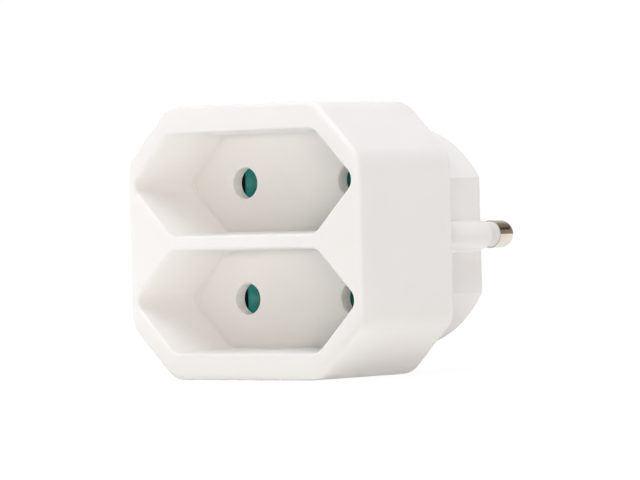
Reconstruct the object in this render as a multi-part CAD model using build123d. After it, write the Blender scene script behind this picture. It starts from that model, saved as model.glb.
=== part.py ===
from build123d import *
import os
from math import cos, hypot, radians, sin, sqrt, tan

# Two-way plug adapter, in millimetres. X runs across the sockets, +Y into the wall, +Z up.
# The origin is the middle of the boss's rear face, halfway between the plug pins.

# Plug and socket standard
PIN_SPACING = 19.0
PIN_DIAMETER = 4.0
PIN_LENGTH = 11.9
BARE_TIP_LENGTH = 4.4

# Body walls around the sockets
SIDE_LAND = 0.65
END_LAND = 3.65
BODY_CHAMFER = 7.5
BODY_CORNER_RADIUS = 4.0
FRONT_EDGE_RADIUS = 0.8
REAR_EDGE_RADIUS = 1.2
WALL = 2.2
LEDGE = 0.6

# Socket recesses
RECESS_WIDTH = 39.9
RECESS_HEIGHT = 14.4
RECESS_LAND = 1.9
RECESS_DEPTH = 12.4
RECESS_APEX_RADIUS = 1.8
RECESS_CORNER_RADIUS = 2.5
RECESS_DRAFT = 1.5
RIM_RADIUS = 0.5
CORE_WALL = 1.6
CORE_RADIUS = 0.6
FLOOR_THICKNESS = 2.0
HOLE_DIAMETER = 4.4
HOLE_CHAMFER = 0.15

# Shutters and their springs
SHUTTER_THICKNESS = 3.0
SHUTTER_HEIGHT = 6.4
SHUTTER_TRAVEL = 5.0
SHUTTER_CORNER_CHAMFER = 1.2
SHUTTER_CLEARANCE = 0.2
RAIL_THICKNESS = 1.2
PAD_GAP = 0.5
PAD_LAP = 0.4
RELIEF_WIDTH = 0.7
RELIEF_WALL = 1.0
RAMP_ANGLE = 30.0
RAMP_DEPTH = 2.3
SCOOP_RADIUS = 2.5
PASSAGE_CLEARANCE = 0.4
SLOT_HEIGHT = 2.4
SLOT_FLOOR = 0.5
SLOT_WEB = 0.8
SPIGOT_DIAMETER = 1.0
SPIGOT_LENGTH = 0.5
SPRING_RADIUS = 0.85
SPRING_WIRE = 0.22
SPRING_TURNS = 5
POST_LENGTH = 0.8
CARRIER_THICKNESS = 1.2

# Rear cover and boss
PLATE_THICKNESS = 2.4
BOSS_DEPTH = 15.3
BOSS_WALL = 1.1
BOSS_PIN_GAP = 0.4
BOSS_FLAT_MARGIN = 2.3
BOSS_END_WALL = 1.6
BOSS_EDGE_RADIUS = 0.5
RIB_WIDTH = 4.0
RIB_ROOT_RADIUS = 0.4
PIN_TUBE_LENGTH = 8.8
PIN_TUBE_WALL = 1.2
SEAT_LENGTH = 4.8
SEAT_WALL = 0.7
SEAT_HEIGHT = 3.6
SEAT_GRIP = 1.2

# Contact strips and plug pins
STRIP_THICKNESS = 0.5
STRIP_X = 6.0
BUS_DEPTH = 3.6
LEAF_WIDTH = 3.4
LEAF_LENGTH = 7.4
LEAF_FLARE = 0.5
LEAF_LEAD_IN = 1.4
TAB_MARGIN = 0.3
RIVET_DIAMETER = 2.5
RIVET_HEAD_DIAMETER = 3.6
RIVET_HEAD_LENGTH = 0.8
COLLAR_DIAMETER = 5.2
COLLAR_LENGTH = 1.2
NECK_DIAMETER = 2.9
SLEEVE_DIAMETER = 3.65
SLEEVE_GRIP = 3.0

# Clearance between fixed pieces that fit into each other
FIT = 0.05
COVER_FIT = 0.1

# Depths along Y, from the boss's rear face towards the sockets
BACK_Y = -BOSS_DEPTH
COVER_Y = BACK_Y - PLATE_THICKNESS
CARRIER_Y = COVER_Y - CARRIER_THICKNESS
SHUTTER_Y = CARRIER_Y - SHUTTER_CLEARANCE - SHUTTER_THICKNESS
FLOOR_BACK_Y = SHUTTER_Y - SHUTTER_CLEARANCE
FLOOR_Y = FLOOR_BACK_Y - FLOOR_THICKNESS
FRONT_Y = FLOOR_Y - RECESS_DEPTH
PIN_TUBE_Y = -BOSS_END_WALL - PIN_TUBE_LENGTH
BARE_Y = PIN_LENGTH - BARE_TIP_LENGTH
CLIP_END_Y = -BOSS_END_WALL - SEAT_LENGTH + SEAT_GRIP
LEAF_Y = CLIP_END_Y - LEAF_LENGTH
TAB_Y = LEAF_Y - LEAF_FLARE

# Places across the face
PIN_X = PIN_SPACING / 2
PIN_RADIUS = PIN_DIAMETER / 2
SOCKET_PITCH = RECESS_HEIGHT + RECESS_LAND
BODY_WIDTH = RECESS_WIDTH + 2 * SIDE_LAND
BODY_HEIGHT = SOCKET_PITCH + RECESS_HEIGHT + 2 * END_LAND
BOSS_RADIUS = hypot(PIN_X, SOCKET_PITCH / 2) + PIN_RADIUS + BOSS_PIN_GAP + BOSS_WALL
BOSS_FLAT = PIN_X + PIN_RADIUS + BOSS_FLAT_MARGIN
SOCKET_HEIGHTS = {"upper": SOCKET_PITCH / 2, "lower": -SOCKET_PITCH / 2}
SIDES = {"left": -1, "right": 1}
PAD_START = PIN_X - HOLE_DIAMETER / 2 + PAD_GAP
PAD_END = PIN_X + HOLE_DIAMETER / 2 + PAD_LAP
SHUTTER_START = PAD_START - PIN_SPACING
WINDOW_START = PAD_END - PIN_SPACING
WINDOW_END = SHUTTER_TRAVEL + PIN_RADIUS + PASSAGE_CLEARANCE - PIN_X
SLOT_START = WINDOW_END + SLOT_WEB
SLOT_END = PAD_START - RELIEF_WIDTH - RELIEF_WALL
POST_START = SLOT_START + SHUTTER_CLEARANCE
POST_END = POST_START + POST_LENGTH
SPRING_Y = (SHUTTER_Y + SLOT_FLOOR + CARRIER_Y) / 2


def slab(profile, start, end):
    """Extrudes a profile drawn in X and Z from one depth to another."""
    return extrude(Plane.XZ.offset(-end) * profile, amount=end - start)


def rod(x, z, diameter, start, end):
    """A cylinder along Y."""
    return slab(Pos(x, z) * Circle(diameter / 2), start, end)


def block(x_range, y_range, z_range):
    """A box between three pairs of limits."""
    ranges = (x_range, y_range, z_range)
    middle = [(low + high) / 2 for low, high in ranges]
    size = [high - low for low, high in ranges]
    return Pos(*middle) * Box(*size)


def around(middle, size):
    """The limits of a size centred on a place."""
    return (middle - size / 2, middle + size / 2)


def body_outline(inset=0.0):
    """The rounded octagon of the body, drawn in by an even margin."""
    octagon = chamfer(Rectangle(BODY_WIDTH, BODY_HEIGHT).vertices(), BODY_CHAMFER)
    rounded = fillet(octagon.vertices(), BODY_CORNER_RADIUS)
    return offset(rounded, amount=-inset) if inset else rounded


def recess_outline():
    """The pointed hexagon of a socket, with its ends at 45 degrees."""
    tip = RECESS_WIDTH / 2
    top = RECESS_HEIGHT / 2
    straight = tip - top
    corners = [(tip, 0), (straight, top), (-straight, top), (-tip, 0), (-straight, -top), (straight, -top)]
    hexagon = make_face(Polyline(*corners, close=True))
    hexagon = fillet(hexagon.vertices().group_by(SortBy.DISTANCE)[-1], RECESS_APEX_RADIUS)
    obtuse = [v for v in hexagon.vertices() if abs(abs(v.Y) - top) < FIT]
    return fillet(obtuse, RECESS_CORNER_RADIUS)


def socket_recess(height):
    """The drafted pocket that a flat plug goes into."""
    mouth = Plane(origin=(0, FRONT_Y, height), x_dir=(-1, 0, 0), z_dir=(0, 1, 0))
    return extrude(mouth * recess_outline(), amount=RECESS_DEPTH, taper=RECESS_DRAFT)


def side_core(side):
    """The triangular core between the two recesses, open behind, that keeps the walls even."""
    apex = RECESS_WIDTH / 2 - SOCKET_PITCH / 2 + CORE_WALL * sqrt(2)
    outer = BODY_WIDTH / 2 - WALL - LEDGE
    rise = outer - apex
    triangle = make_face(Polyline((side * apex, 0), (side * outer, rise), (side * outer, -rise), close=True))
    triangle = fillet(triangle.vertices(), CORE_RADIUS)
    return slab(triangle, FRONT_Y + WALL, FLOOR_BACK_Y)


def shutter_rails(height):
    """The two ribs behind a floor that guide its shutter and carry the shutter carrier."""
    inner = SHUTTER_HEIGHT / 2 + SHUTTER_CLEARANCE
    span = (SHUTTER_START - SHUTTER_TRAVEL, PAD_END)
    depth = (FLOOR_BACK_Y, CARRIER_Y)
    above = block(span, depth, (height + inner, height + inner + RAIL_THICKNESS))
    below = block(span, depth, (height - inner - RAIL_THICKNESS, height - inner))
    return above + below


def front_housing():
    """The white front moulding: body walls, recesses, socket floors, pin holes and shutter rails."""
    housing = slab(body_outline(), FRONT_Y, BACK_Y)
    housing = fillet(housing.faces().sort_by(Axis.Y)[0].edges(), FRONT_EDGE_RADIUS)
    housing = fillet(housing.faces().sort_by(Axis.Y)[-1].edges(), REAR_EDGE_RADIUS)
    housing -= slab(body_outline(WALL + LEDGE), FLOOR_BACK_Y, BACK_Y)
    housing -= slab(body_outline(WALL), COVER_Y, BACK_Y)
    for side in SIDES.values():
        housing -= side_core(side)
    for height in SOCKET_HEIGHTS.values():
        housing -= socket_recess(height)
        housing += shutter_rails(height)
    front = housing.faces().sort_by(Axis.Y)[0]
    housing = fillet(front.inner_wires().edges(), RIM_RADIUS)
    for height in SOCKET_HEIGHTS.values():
        for side in SIDES.values():
            housing -= rod(side * PIN_X, height, HOLE_DIAMETER, FLOOR_Y, FLOOR_BACK_Y)
    circles = housing.edges().filter_by(GeomType.CIRCLE)
    holes = [e for e in circles if abs(e.radius - HOLE_DIAMETER / 2) < FIT]
    mouths = [e for e in holes if abs(e.center().Y - FLOOR_Y) < FIT]
    return chamfer(mouths, HOLE_CHAMFER)


def boss_outline(inset=0.0):
    """A circle with a flat on each side."""
    return Circle(BOSS_RADIUS - inset) & Rectangle(2 * (BOSS_FLAT - inset), 2 * BOSS_RADIUS)


def ribbed_outline():
    """The boss's outline with a half-round rib on each flat, in line with the plug pins."""
    outline = boss_outline()
    for side in SIDES.values():
        outline += Pos(side * BOSS_FLAT, 0) * Circle(RIB_WIDTH / 2)
    roots = [v for v in outline.vertices() if abs(abs(v.Y) - RIB_WIDTH / 2) < FIT]
    return fillet(roots, RIB_ROOT_RADIUS)


def pin_tube(side):
    """The tube inside the boss that holds a plug pin, with a web to the wall of the flat."""
    depth = (PIN_TUBE_Y, -BOSS_END_WALL / 2)
    tube = rod(side * PIN_X, 0, SLEEVE_DIAMETER + 2 * (FIT + PIN_TUBE_WALL), *depth)
    web = block(sorted((side * PIN_X, side * (BOSS_FLAT - BOSS_WALL / 2))), depth, around(0, PIN_TUBE_WALL))
    return tube + web


def clip_seat(side, height):
    """The slotted stub on the boss's end wall that holds the rear edge of a contact clip."""
    low = STRIP_X - FIT
    high = STRIP_X + STRIP_THICKNESS + FIT
    depth = (-BOSS_END_WALL - SEAT_LENGTH, -BOSS_END_WALL)
    x_range = sorted((side * (low - SEAT_WALL), side * (high + SEAT_WALL)))
    stub = block(x_range, depth, around(height, SEAT_HEIGHT))
    slot = block(sorted((side * low, side * high)), (depth[0], CLIP_END_Y + FIT), around(height, SEAT_HEIGHT))
    return stub - slot


def rear_cover():
    """The white rear moulding: closing plate, hollow boss with ribbed flats, pin tubes and clip seats."""
    boss = slab(ribbed_outline(), BACK_Y, 0)
    boss = fillet(boss.faces().sort_by(Axis.Y)[-1].edges(), BOSS_EDGE_RADIUS)
    cover = slab(body_outline(WALL + COVER_FIT), COVER_Y, BACK_Y) + boss
    cover -= slab(boss_outline(BOSS_WALL), COVER_Y, -BOSS_END_WALL)
    for side in SIDES.values():
        cover += pin_tube(side)
        cover -= rod(side * PIN_X, 0, SLEEVE_DIAMETER + 2 * FIT, PIN_TUBE_Y, 0)
        for height in SOCKET_HEIGHTS.values():
            cover += clip_seat(side, height)
    return cover


def ramp_scoop(pad_end):
    """The sloped trough that a plug pin's round tip rides down as it pushes a shutter to the left."""
    slope = radians(RAMP_ANGLE)
    run = RAMP_DEPTH / tan(slope) + 2 * SCOOP_RADIUS
    start = (pad_end + SCOOP_RADIUS * sin(slope), SHUTTER_Y + RAMP_DEPTH - SCOOP_RADIUS * cos(slope), 0)
    along = Plane(origin=start, x_dir=(0, 0, 1), z_dir=(-cos(slope), -sin(slope), 0))
    return extrude(along * Circle(SCOOP_RADIUS), amount=run)


def shutter():
    """A sliding bar with two ramps, a window for the far pin, a relief beside one ramp and a spring slot."""
    depth = (SHUTTER_Y, SHUTTER_Y + SHUTTER_THICKNESS)
    bar = block((SHUTTER_START, PAD_END), depth, around(0, SHUTTER_HEIGHT))
    bar = chamfer(bar.edges().filter_by(Axis.Y), SHUTTER_CORNER_CHAMFER)
    passage = PIN_DIAMETER + 2 * PASSAGE_CLEARANCE
    bar -= block((WINDOW_START, WINDOW_END), depth, around(0, passage))
    bar -= block((PAD_START - RELIEF_WIDTH, PAD_START), depth, around(0, passage))
    bar -= block((SLOT_START, SLOT_END), (SHUTTER_Y + SLOT_FLOOR, depth[1]), around(0, SLOT_HEIGHT))
    for pad_end in (WINDOW_START, PAD_END):
        bar -= ramp_scoop(pad_end)
    return bar + spring_spigot(SLOT_END, -1)


def spring_spigot(x, direction):
    """The stub inside the end of a shutter's spring."""
    plane = Plane(origin=(x, SPRING_Y, 0), x_dir=(0, 0, 1), z_dir=(direction, 0, 0))
    return extrude(plane * Circle(SPIGOT_DIAMETER / 2), amount=SPIGOT_LENGTH)


def shutter_spring():
    """A coil spring along X between the shutter's slot and the carrier's post."""
    length = SLOT_END - POST_END - SPRING_WIRE
    coil = Helix(pitch=length / SPRING_TURNS, height=length, radius=SPRING_RADIUS)
    start = Plane(origin=coil @ 0, z_dir=coil % 0)
    wire = sweep(start * RegularPolygon(SPRING_WIRE / 2, 6), path=coil)
    return Pos(POST_END + SPRING_WIRE / 2, SPRING_Y, 0) * Rot(0, 90, 0) * wire


def spring_post():
    """The carrier's post in the shutter's slot, which the spring pushes against."""
    depth = (SHUTTER_Y + SLOT_FLOOR + SHUTTER_CLEARANCE, CARRIER_Y)
    height = SLOT_HEIGHT - 2 * SHUTTER_CLEARANCE
    return block((POST_START, POST_END), depth, around(0, height)) + spring_spigot(POST_END, 1)


def shutter_carrier():
    """The insulating plate behind the shutters, with pin passages and the two spring posts."""
    plate = slab(body_outline(WALL + LEDGE + COVER_FIT), CARRIER_Y, COVER_Y)
    for height in SOCKET_HEIGHTS.values():
        plate += Pos(0, 0, height) * spring_post()
        for side in SIDES.values():
            passage = PIN_DIAMETER + 2 * PASSAGE_CLEARANCE
            plate -= rod(side * PIN_X, height, passage, CARRIER_Y, COVER_Y)
    return plate


def contact_leaf(direction):
    """One sprung leaf of a clip, above or below the pin, flared where the pin comes in."""
    grip = PIN_RADIUS + FIT
    points = [
        (LEAF_Y, grip + LEAF_FLARE),
        (LEAF_Y + LEAF_LEAD_IN, grip),
        (CLIP_END_Y, grip),
        (CLIP_END_Y, grip + STRIP_THICKNESS),
        (LEAF_Y + LEAF_LEAD_IN, grip + STRIP_THICKNESS),
        (LEAF_Y, grip + LEAF_FLARE + STRIP_THICKNESS),
    ]
    leaf = make_face(Polyline(*[(y, direction * z) for y, z in points], close=True))
    return extrude(Plane.YZ.offset(STRIP_X) * leaf, amount=LEAF_WIDTH)


def contact_strip():
    """A stamped strip on the right: two socket clips, the bus between them and the tab riveted to the pin."""
    thickness = (STRIP_X, STRIP_X + STRIP_THICKNESS)
    clip_half = PIN_RADIUS + FIT + STRIP_THICKNESS
    reach = SOCKET_PITCH / 2 + clip_half
    bus = block(thickness, (TAB_Y - BUS_DEPTH, TAB_Y), (-reach, reach))
    for height in SOCKET_HEIGHTS.values():
        bus += block(thickness, (TAB_Y, CLIP_END_Y), around(height, 2 * clip_half))
        for direction in (1, -1):
            bus += Pos(0, 0, height) * contact_leaf(direction)
    tab_end = PIN_X + PIN_RADIUS + TAB_MARGIN
    tab_height = PIN_DIAMETER + 2 * TAB_MARGIN
    tab_depth = (TAB_Y - STRIP_THICKNESS, TAB_Y)
    bus += block((STRIP_X, tab_end), tab_depth, around(0, tab_height))
    return bus - rod(PIN_X, 0, RIVET_DIAMETER + 2 * FIT, *tab_depth)


def plug_pin():
    """A turned pin: rivet end, root, collar, neck under the sleeve and a domed bare tip."""
    collar_y = PIN_TUBE_Y - COLLAR_LENGTH
    tab_front_y = TAB_Y - STRIP_THICKNESS
    steps = [
        (0, tab_front_y - RIVET_HEAD_LENGTH),
        (RIVET_HEAD_DIAMETER / 2, tab_front_y - RIVET_HEAD_LENGTH),
        (RIVET_HEAD_DIAMETER / 2, tab_front_y),
        (RIVET_DIAMETER / 2, tab_front_y),
        (RIVET_DIAMETER / 2, TAB_Y),
        (SLEEVE_DIAMETER / 2, TAB_Y),
        (SLEEVE_DIAMETER / 2, collar_y),
        (COLLAR_DIAMETER / 2, collar_y),
        (COLLAR_DIAMETER / 2, PIN_TUBE_Y),
        (SLEEVE_DIAMETER / 2, PIN_TUBE_Y),
        (SLEEVE_DIAMETER / 2, -SLEEVE_GRIP),
        (NECK_DIAMETER / 2, -SLEEVE_GRIP),
        (NECK_DIAMETER / 2, BARE_Y),
        (PIN_RADIUS, BARE_Y),
        (PIN_RADIUS, PIN_LENGTH - PIN_RADIUS),
    ]
    dome = CenterArc((0, PIN_LENGTH - PIN_RADIUS), PIN_RADIUS, 0, 90)
    half = make_face(Polyline(*steps) + dome + Line((0, PIN_LENGTH), steps[0]))
    return Pos(PIN_X, 0, 0) * revolve(half, axis=Axis.Y)


def pin_sleeve():
    """The insulating tube on a plug pin, up to its bare tip."""
    skin = rod(PIN_X, 0, SLEEVE_DIAMETER, -SLEEVE_GRIP, BARE_Y)
    return skin - rod(PIN_X, 0, NECK_DIAMETER + 2 * FIT, -SLEEVE_GRIP, BARE_Y)


def build():
    """Every piece by its name, in place."""
    pieces = {
        "front_housing": front_housing(),
        "rear_cover": rear_cover(),
        "shutter_carrier": shutter_carrier(),
    }
    for name, height in SOCKET_HEIGHTS.items():
        pieces[f"shutter_{name}"] = Pos(0, 0, height) * shutter()
        pieces[f"shutter_spring_{name}"] = Pos(0, 0, height) * shutter_spring()
    on_right = {"contact_strip": contact_strip(), "plug_pin": plug_pin(), "pin_sleeve": pin_sleeve()}
    for name, piece in on_right.items():
        pieces[f"{name}_right"] = piece
        pieces[f"{name}_left"] = mirror(piece, about=Plane.YZ)
    return pieces


os.makedirs("parts", exist_ok=True)
for node, piece in build().items():
    export_step(piece, f"parts/{node}.step")
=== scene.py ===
import bmesh
import bpy
import math
from mathutils import Matrix, Vector


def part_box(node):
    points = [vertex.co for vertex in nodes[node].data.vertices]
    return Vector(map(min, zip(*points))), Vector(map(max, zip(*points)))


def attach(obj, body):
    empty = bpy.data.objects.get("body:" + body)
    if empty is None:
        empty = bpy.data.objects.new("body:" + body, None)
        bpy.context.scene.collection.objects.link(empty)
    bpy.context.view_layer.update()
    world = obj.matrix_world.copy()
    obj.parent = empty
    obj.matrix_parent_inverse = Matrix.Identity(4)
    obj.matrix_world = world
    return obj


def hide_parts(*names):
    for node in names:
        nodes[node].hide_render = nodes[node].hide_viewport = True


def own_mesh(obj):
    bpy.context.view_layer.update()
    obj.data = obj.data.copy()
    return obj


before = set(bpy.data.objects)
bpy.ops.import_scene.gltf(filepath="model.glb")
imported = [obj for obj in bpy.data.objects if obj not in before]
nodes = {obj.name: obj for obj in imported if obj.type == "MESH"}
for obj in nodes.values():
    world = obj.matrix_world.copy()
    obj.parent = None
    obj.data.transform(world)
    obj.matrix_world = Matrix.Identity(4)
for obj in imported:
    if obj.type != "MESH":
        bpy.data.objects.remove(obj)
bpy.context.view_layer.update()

# Camera, solved from the photograph
CAMERA_AT = Vector((0.392897, -0.507123, 0.004138))
CAMERA_AIM = Vector((0.002526, -0.022665, -0.000066))
CAMERA_ROLL = math.radians(-1.4856)
CAMERA_LENS = 251.21
CAMERA_SENSOR = 36.0
CAMERA_CLIP = (0.01, 60.0)

# Plastics and metals
NOISE_MIDDLE = (0.3, 0.7)
TONE_STOPS = (0.32, 0.68)
PLASTIC_IOR = 1.49
PLASTIC_DIFFUSE_ROUGHNESS = 0.8

# Painted shade in the inner corners of the white mouldings: a corner of two square walls is half open
CREASE_REACH = 0.0008
CREASE_OPENNESS = 0.5
CREASE_SHADE = 0.935
CREASE_SAMPLES = 8

# Springs, as the source has them
SPRING_FIXED_X = -0.0003
SPRING_FREE_X = 0.0061
SPRING_RADIUS = 0.00085
SPRING_WIRE = 0.00022
SPRING_TURNS = 5
SPRING_STEPS_PER_TURN = 26
SPRING_SIDES = 10

# Floor and background
WHITE = (1.0, 1.0, 1.0, 1.0)
WHITE_LEVEL = 1.04
FLOOR_Z = -0.0191
FLOOR_REACH = 0.5
FLOOR_COLOR = (0.9, 0.882, 0.855, 1.0)
FLOOR_SHADOW = 0.08
FLOOR_FADE = (0.06, 0.22)

# Far side of the room: its tones from foot to ceiling, and where it fades to pale at the left
ROOM_Y = 1.6
ROOM_SPAN = (-1.4, 2.6)
ROOM_FOOT = -0.1
ROOM_TOP = 1.9
ROOM_TONES = [(0.0, 0.31), (0.33, 0.29), (0.39, 0.03), (0.46, 0.05), (0.55, 0.22), (1.0, 0.34)]
ROOM_TINT = (1.0, 0.86, 0.75)
ROOM_PALE = (0.95, 0.92, 0.89, 1.0)
ROOM_FADE = (0.05, -1.2)

# Lamps
PART_MIDDLE = (0.0, -0.02, 0.0)
NEUTRAL_LIGHT = (1.0, 1.0, 1.0)
LOW_LAMP_WIDTH = 0.32
LOW_LAMP_HEIGHT = 0.09
TABLE_TINT = (0.96, 0.92, 1.0)
TABLE_LIFT = 0.0005


# Node helpers
def start_tree(owner, output_kind="ShaderNodeOutputMaterial"):
    """Empties the nodes of a material or world, and gives its tree and the input that it shows."""
    owner.use_nodes = True
    tree = owner.node_tree
    tree.nodes.clear()
    return tree, tree.nodes.new(output_kind).inputs["Surface"]


def add_node(tree, kind, values):
    """A new node with some of its inputs set by name."""
    node = tree.nodes.new(kind)
    for key, value in values.items():
        node.inputs[key].default_value = value
    return node


def new_material(name):
    """An empty material with its node tree and main shader."""
    material = bpy.data.materials.new(name)
    tree, surface = start_tree(material)
    shader = tree.nodes.new("ShaderNodeBsdfPrincipled")
    tree.links.new(shader.outputs["BSDF"], surface)
    return material, tree, shader


def object_place(tree):
    """Coordinates that stay with the piece."""
    return tree.nodes.new("ShaderNodeTexCoord").outputs["Object"]


def noise(tree, place, scale, detail=3.0):
    """A noise texture over a set of coordinates."""
    texture = add_node(tree, "ShaderNodeTexNoise", {"Scale": scale, "Detail": detail})
    tree.links.new(place, texture.inputs["Vector"])
    return texture.outputs["Fac"]


def map_range(tree, value, source, target=(0.0, 1.0)):
    """Maps a value from one range to another, held at the ends."""
    ends = {"From Min": source[0], "From Max": source[1], "To Min": target[0], "To Max": target[1]}
    remap = add_node(tree, "ShaderNodeMapRange", ends)
    tree.links.new(value, remap.inputs["Value"])
    return remap.outputs["Result"]


def calculate(tree, operation, first, second):
    """One value worked out from two."""
    step = tree.nodes.new("ShaderNodeMath")
    step.operation = operation
    tree.links.new(first, step.inputs[0])
    tree.links.new(second, step.inputs[1])
    return step.outputs[0]


def two_tone(tree, value, dark, light):
    """Mixes two colours by a noise."""
    ramp = tree.nodes.new("ShaderNodeValToRGB")
    for stop, position, color in zip(ramp.color_ramp.elements, TONE_STOPS, (dark, light)):
        stop.position = position
        stop.color = (*color, 1.0)
    tree.links.new(value, ramp.inputs["Fac"])
    return ramp.outputs["Color"]


def color_mix(tree, blend_type="MIX"):
    """A mix node that is set for colours."""
    mix = tree.nodes.new("ShaderNodeMix")
    mix.data_type = "RGBA"
    mix.blend_type = blend_type
    return mix


def add_sheen(tree, shader, value, low, high):
    """Lets the roughness drift between two values with a noise."""
    tree.links.new(map_range(tree, value, NOISE_MIDDLE, (low, high)), shader.inputs["Roughness"])


def add_bump(tree, shader, height, distance, strength):
    """Turns a height into a bump on the shader."""
    bump = add_node(tree, "ShaderNodeBump", {"Distance": distance, "Strength": strength})
    tree.links.new(height, bump.inputs["Height"])
    tree.links.new(bump.outputs["Normal"], shader.inputs["Normal"])


def paint_crease_shade(tree, color):
    """Paints shade into a colour: a little darker along the inner corners, where two walls of a moulding
    meet.
    """
    openness = add_node(tree, "ShaderNodeAmbientOcclusion", {"Distance": CREASE_REACH})
    openness.only_local = True
    openness.samples = CREASE_SAMPLES
    shade = map_range(tree, openness.outputs["AO"], (CREASE_OPENNESS, 1.0), (CREASE_SHADE, 1.0))
    shaded = color_mix(tree, "MULTIPLY")
    shaded.inputs["Factor"].default_value = 1.0
    tree.links.new(color, shaded.inputs["A"])
    tree.links.new(shade, shaded.inputs["B"])
    return shaded.outputs["Result"]


# Materials
def moulded_plastic(name, dark, light, rough, grain=0.12, painted_crease_shade=False):
    """Injection-moulded plastic: a fine spark-eroded grain, faint colour drift, uneven sheen, and painted
    shade in the inner corners if asked.
    """
    material, tree, shader = new_material(name)
    place = object_place(tree)
    color = two_tone(tree, noise(tree, place, scale=45.0), dark, light)
    # Painted shade: the base colour is darkened along the inner corners, by ambient occlusion.
    if painted_crease_shade:
        color = paint_crease_shade(tree, color)
    tree.links.new(color, shader.inputs["Base Color"])
    add_sheen(tree, shader, noise(tree, place, scale=420.0), low=rough - 0.05, high=rough + 0.06)
    erosion = noise(tree, place, scale=9000.0, detail=2.0)
    add_bump(tree, shader, erosion, distance=0.00002, strength=grain)
    shader.inputs["IOR"].default_value = PLASTIC_IOR
    shader.inputs["Diffuse Roughness"].default_value = PLASTIC_DIFFUSE_ROUGHNESS
    return material


def turned_metal(name, dark, light, rough):
    """Plated metal with fine lathe lines round its own axis."""
    material, tree, shader = new_material(name)
    place = object_place(tree)
    color = two_tone(tree, noise(tree, place, scale=320.0), dark, light)
    tree.links.new(color, shader.inputs["Base Color"])
    add_sheen(tree, shader, noise(tree, place, scale=900.0), low=rough - 0.04, high=rough + 0.06)
    lines = add_node(tree, "ShaderNodeTexWave", {"Scale": 2600.0, "Distortion": 1.5, "Detail": 2.0})
    lines.bands_direction = "Y"
    tree.links.new(place, lines.inputs["Vector"])
    add_bump(tree, shader, lines.outputs["Fac"], distance=0.00001, strength=0.06)
    shader.inputs["Metallic"].default_value = 1.0
    return material


def sheet_metal(name, dark, light, rough):
    """Rolled sheet with soft mottling."""
    material, tree, shader = new_material(name)
    place = object_place(tree)
    color = two_tone(tree, noise(tree, place, scale=500.0), dark, light)
    tree.links.new(color, shader.inputs["Base Color"])
    add_sheen(tree, shader, noise(tree, place, scale=1500.0), low=rough - 0.06, high=rough + 0.08)
    mottling = noise(tree, place, scale=5000.0, detail=2.0)
    add_bump(tree, shader, mottling, distance=0.00001, strength=0.08)
    shader.inputs["Metallic"].default_value = 1.0
    return material


# The white plastic gets painted shade in its inner corners.
white = moulded_plastic("white_plastic", (0.915, 0.897, 0.875), (0.935, 0.919, 0.899), rough=0.4,
                        painted_crease_shade=True)
sleeve = moulded_plastic("sleeve_plastic", (0.85, 0.835, 0.81), (0.875, 0.86, 0.84), rough=0.45, grain=0.08)
carrier = moulded_plastic("carrier_plastic", (0.04, 0.039, 0.037), (0.06, 0.058, 0.055), rough=0.55)
teal = moulded_plastic("teal_plastic", (0.016, 0.28, 0.25), (0.025, 0.34, 0.305), rough=0.4, grain=0.1)
plated = turned_metal("plated_brass", (0.69, 0.62, 0.53), (0.785, 0.725, 0.635), rough=0.12)
brass = sheet_metal("contact_brass", (0.68, 0.47, 0.2), (0.8, 0.59, 0.28), rough=0.3)
steel = sheet_metal("spring_steel", (0.45, 0.45, 0.46), (0.6, 0.6, 0.62), rough=0.28)

LOOKS = {
    "front_housing": white,
    "rear_cover": white,
    "shutter_carrier": carrier,
    "shutter_upper": teal,
    "shutter_lower": teal,
    "contact_strip_left": brass,
    "contact_strip_right": brass,
    "plug_pin_left": plated,
    "plug_pin_right": plated,
    "pin_sleeve_left": sleeve,
    "pin_sleeve_right": sleeve,
    "shutter_spring_upper": steel,
    "shutter_spring_lower": steel,
}
for name, look in LOOKS.items():
    nodes[name].data.materials.clear()
    nodes[name].data.materials.append(look)


# Objects
def add_object(name, data):
    """A new object in the scene."""
    piece = bpy.data.objects.new(name, data)
    bpy.context.scene.collection.objects.link(piece)
    return piece


# Springs
def wire_rings(mesh, middle):
    """Rings of points round a wire that winds along X."""
    length = SPRING_FREE_X - SPRING_FIXED_X - SPRING_WIRE
    lead = length / (2 * math.pi * SPRING_TURNS * SPRING_RADIUS)
    steps = SPRING_STEPS_PER_TURN * SPRING_TURNS
    rings = []
    for i in range(steps + 1):
        turn = 2 * math.pi * SPRING_TURNS * i / steps
        out = Vector((0, math.cos(turn), math.sin(turn)))
        along = Vector((lead, -out.z, out.y)).normalized()
        side = along.cross(out)
        axis_point = Vector((SPRING_FIXED_X + SPRING_WIRE / 2 + length * i / steps, middle.y, middle.z))
        ring = []
        for k in range(SPRING_SIDES):
            angle = 2 * math.pi * k / SPRING_SIDES
            offset = (out * math.cos(angle) + side * math.sin(angle)) * SPRING_WIRE / 2
            ring.append(mesh.verts.new(axis_point + out * SPRING_RADIUS + offset))
        rings.append(ring)
    return rings


def coil_data(name, middle):
    """A round-wire coil with closed ends."""
    mesh = bmesh.new()
    rings = wire_rings(mesh, middle)
    for ring, following in zip(rings[:-1], rings[1:]):
        for k in range(SPRING_SIDES):
            after = (k + 1) % SPRING_SIDES
            mesh.faces.new((ring[k], ring[after], following[after], following[k]))
    mesh.faces.new(rings[0][::-1])
    mesh.faces.new(rings[-1])
    bmesh.ops.recalc_face_normals(mesh, faces=mesh.faces)
    data = bpy.data.meshes.new(name)
    mesh.to_mesh(data)
    mesh.free()
    for face in data.polygons:
        face.use_smooth = True
    data.materials.append(steel)
    return data


def coil_spring(name, height):
    """A coil along X that stands in for the spring part and stays fixed to the housing."""
    low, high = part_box(f"shutter_spring_{height}")
    middle = (Vector(low) + Vector(high)) / 2
    spring = add_object(name, coil_data(name, middle))
    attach(spring, "housing")
    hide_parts(f"shutter_spring_{height}")
    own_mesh(spring)


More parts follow.
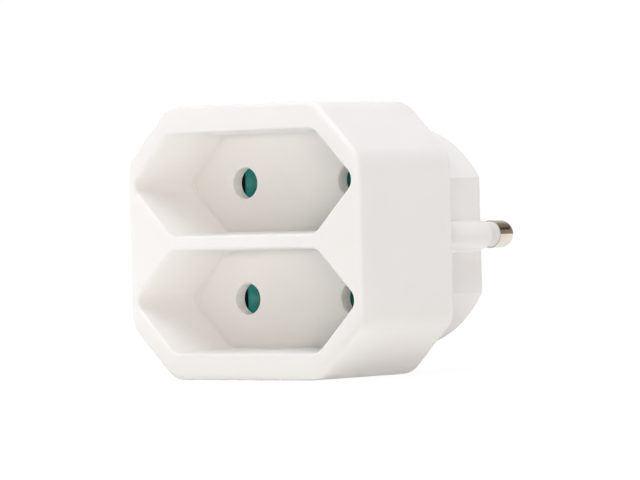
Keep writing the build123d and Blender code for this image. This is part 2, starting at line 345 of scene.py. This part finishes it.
coil_spring("coil_upper", "upper")
coil_spring("coil_lower", "lower")


# Stage
def stage_plane(name, corners, material):
    """A flat stage piece through four corners."""
    data = bpy.data.meshes.new(name)
    data.from_pydata(corners, [], [(0, 1, 2, 3)])
    data.materials.append(material)
    piece = add_object(name, data)
    return piece


def seen_directly(tree):
    """1 for rays that come from the camera, or by way of a mirror or glass."""
    path = tree.nodes.new("ShaderNodeLightPath")
    most = path.outputs["Is Camera Ray"]
    for other in ("Is Glossy Ray", "Is Transmission Ray"):
        most = calculate(tree, "MAXIMUM", most, path.outputs[other])
    return most


def floor_material():
    """Pale floor that shows as white, with a share of its own light and shadow near the part."""
    material = bpy.data.materials.new("floor")
    tree, surface = start_tree(material)
    matte = add_node(tree, "ShaderNodeBsdfDiffuse", {"Color": FLOOR_COLOR})
    glow = add_node(tree, "ShaderNodeEmission", {"Strength": WHITE_LEVEL})
    away = tree.nodes.new("ShaderNodeVectorMath")
    away.operation = "LENGTH"
    tree.links.new(object_place(tree), away.inputs[0])
    fade = map_range(tree, away.outputs["Value"], FLOOR_FADE, (1 - FLOOR_SHADOW, 1.0))
    blend = tree.nodes.new("ShaderNodeMixShader")
    tree.links.new(calculate(tree, "MULTIPLY", seen_directly(tree), fade), blend.inputs["Fac"])
    tree.links.new(matte.outputs[0], blend.inputs[1])
    tree.links.new(glow.outputs[0], blend.inputs[2])
    tree.links.new(blend.outputs[0], surface)
    return material


def room_material():
    """The room as bright metal mirrors it: grey, with a dark band half-way up, and pale at the left."""
    material = bpy.data.materials.new("room")
    tree, surface = start_tree(material)
    split = tree.nodes.new("ShaderNodeSeparateXYZ")
    tree.links.new(object_place(tree), split.inputs[0])
    ramp = tree.nodes.new("ShaderNodeValToRGB")
    stops = ramp.color_ramp.elements
    while len(stops) < len(ROOM_TONES):
        stops.new(1.0)
    for stop, (share, tone) in zip(stops, ROOM_TONES):
        stop.position = share
        stop.color = (*(tone * part for part in ROOM_TINT), 1.0)
    tree.links.new(map_range(tree, split.outputs["Z"], (0.0, ROOM_TOP)), ramp.inputs["Fac"])
    wall = color_mix(tree)
    wall.inputs["B"].default_value = ROOM_PALE
    tree.links.new(map_range(tree, split.outputs["X"], ROOM_FADE), wall.inputs["Factor"])
    tree.links.new(ramp.outputs["Color"], wall.inputs["A"])
    glow = tree.nodes.new("ShaderNodeEmission")
    tree.links.new(wall.outputs["Result"], glow.inputs["Color"])
    tree.links.new(glow.outputs[0], surface)
    return material


def lay_floor():
    """The floor under the part."""
    square = ((-1, -1), (1, -1), (1, 1), (-1, 1))
    corners = [(x * FLOOR_REACH, y * FLOOR_REACH, FLOOR_Z) for x, y in square]
    stage_plane("floor", corners, floor_material())


def hang_room():
    """The panel behind the part, for the metal to mirror and for nothing else."""
    left, right = ROOM_SPAN
    foot = [(left, ROOM_Y, ROOM_FOOT), (right, ROOM_Y, ROOM_FOOT)]
    top = [(right, ROOM_Y, ROOM_TOP), (left, ROOM_Y, ROOM_TOP)]
    room = stage_plane("room", foot + top, room_material())
    room.visible_camera = False
    room.visible_diffuse = False
    room.visible_shadow = False


lay_floor()
hang_room()


# Light
def soft_box(name, place, size, power, color=NEUTRAL_LIGHT, height=None, aim=PART_MIDDLE):
    """A studio lamp that points at a place, square unless it has a height of its own."""
    data = bpy.data.lights.new(name, "AREA")
    data.shape = "RECTANGLE"
    data.size = size
    data.size_y = height or size
    data.energy = power
    data.color = color
    lamp = add_object(name, data)
    lamp.location = place
    lamp.rotation_euler = (Vector(aim) - Vector(place)).to_track_quat("-Z", "Y").to_euler()
    lamp.visible_camera = False
    return lamp


def low_strip(name, place, power, color):
    """A wide, low lamp whose light reaches into the recesses."""
    soft_box(name, place, LOW_LAMP_WIDTH, power, color, LOW_LAMP_HEIGHT)


def table_light(name, place, size, power):
    """A patch of the table that throws light up."""
    x, y = place
    soft_box(name, (x, y, FLOOR_Z + TABLE_LIFT), size, power, TABLE_TINT, aim=(x, y, 1.0))


def white_world():
    """A world that shows as white. The lamps give all the light that falls on matte surfaces."""
    world = bpy.data.worlds.new("studio")
    bpy.context.scene.world = world
    tree, surface = start_tree(world, "ShaderNodeOutputWorld")
    background = add_node(tree, "ShaderNodeBackground", {"Color": WHITE, "Strength": WHITE_LEVEL})
    blend = tree.nodes.new("ShaderNodeMixShader")
    tree.links.new(seen_directly(tree), blend.inputs["Fac"])
    tree.links.new(background.outputs[0], blend.inputs[2])
    tree.links.new(blend.outputs[0], surface)


soft_box("top_light", (0.0, -0.18, 0.8), size=0.8, power=6.78, color=(0.936, 0.952, 1.0))
soft_box("high_front_light", (0.0, -0.66, 0.64), size=0.5, power=0.8, color=(0.88, 1.0, 1.0))
soft_box("left_light", (-0.87, -0.25, 0.12), size=0.35, power=0.95, color=(0.83, 0.944, 1.0))
soft_box("right_light", (0.78, -0.47, 0.12), size=0.35, power=0.96, color=(1.0, 0.897, 0.955))
soft_box("side_light", (0.87, 0.21, 0.12), size=0.35, power=0.77, color=(0.786, 0.893, 1.0))
low_strip("low_key_light", (0.52, -0.62, 0.03), power=1.43, color=(1.0, 0.928, 0.817))
low_strip("low_left_light", (-0.28, -0.78, 0.03), power=0.18, color=(0.79, 0.893, 1.0))
table_light("near_table_light", (-0.05, -0.095), size=0.08, power=0.0172)
table_light("far_table_light", (-0.05, -0.36), size=0.3, power=0.16)
rear_light = soft_box("rear_light", (-0.6, 0.9, 0.35), size=0.5, power=3.6)
rear_light.visible_glossy = False
white_world()


# Camera
def photo_camera():
    """The camera of the photograph, with its roll."""
    forward = (CAMERA_AIM - CAMERA_AT).normalized()
    level = forward.cross(Vector((0, 0, 1))).normalized()
    upright = level.cross(forward)
    right = level * math.cos(CAMERA_ROLL) + upright * math.sin(CAMERA_ROLL)
    up = right.cross(forward)
    lens = bpy.data.cameras.new("camera")
    lens.lens = CAMERA_LENS
    lens.sensor_width = CAMERA_SENSOR
    lens.sensor_fit = "HORIZONTAL"
    lens.clip_start, lens.clip_end = CAMERA_CLIP
    camera = add_object("camera", lens)
    turn = Matrix((right, up, -forward)).transposed().to_4x4()
    camera.matrix_world = Matrix.Translation(CAMERA_AT) @ turn
    return camera


bpy.context.scene.camera = photo_camera()
bpy.context.scene.view_settings.view_transform = "Standard"
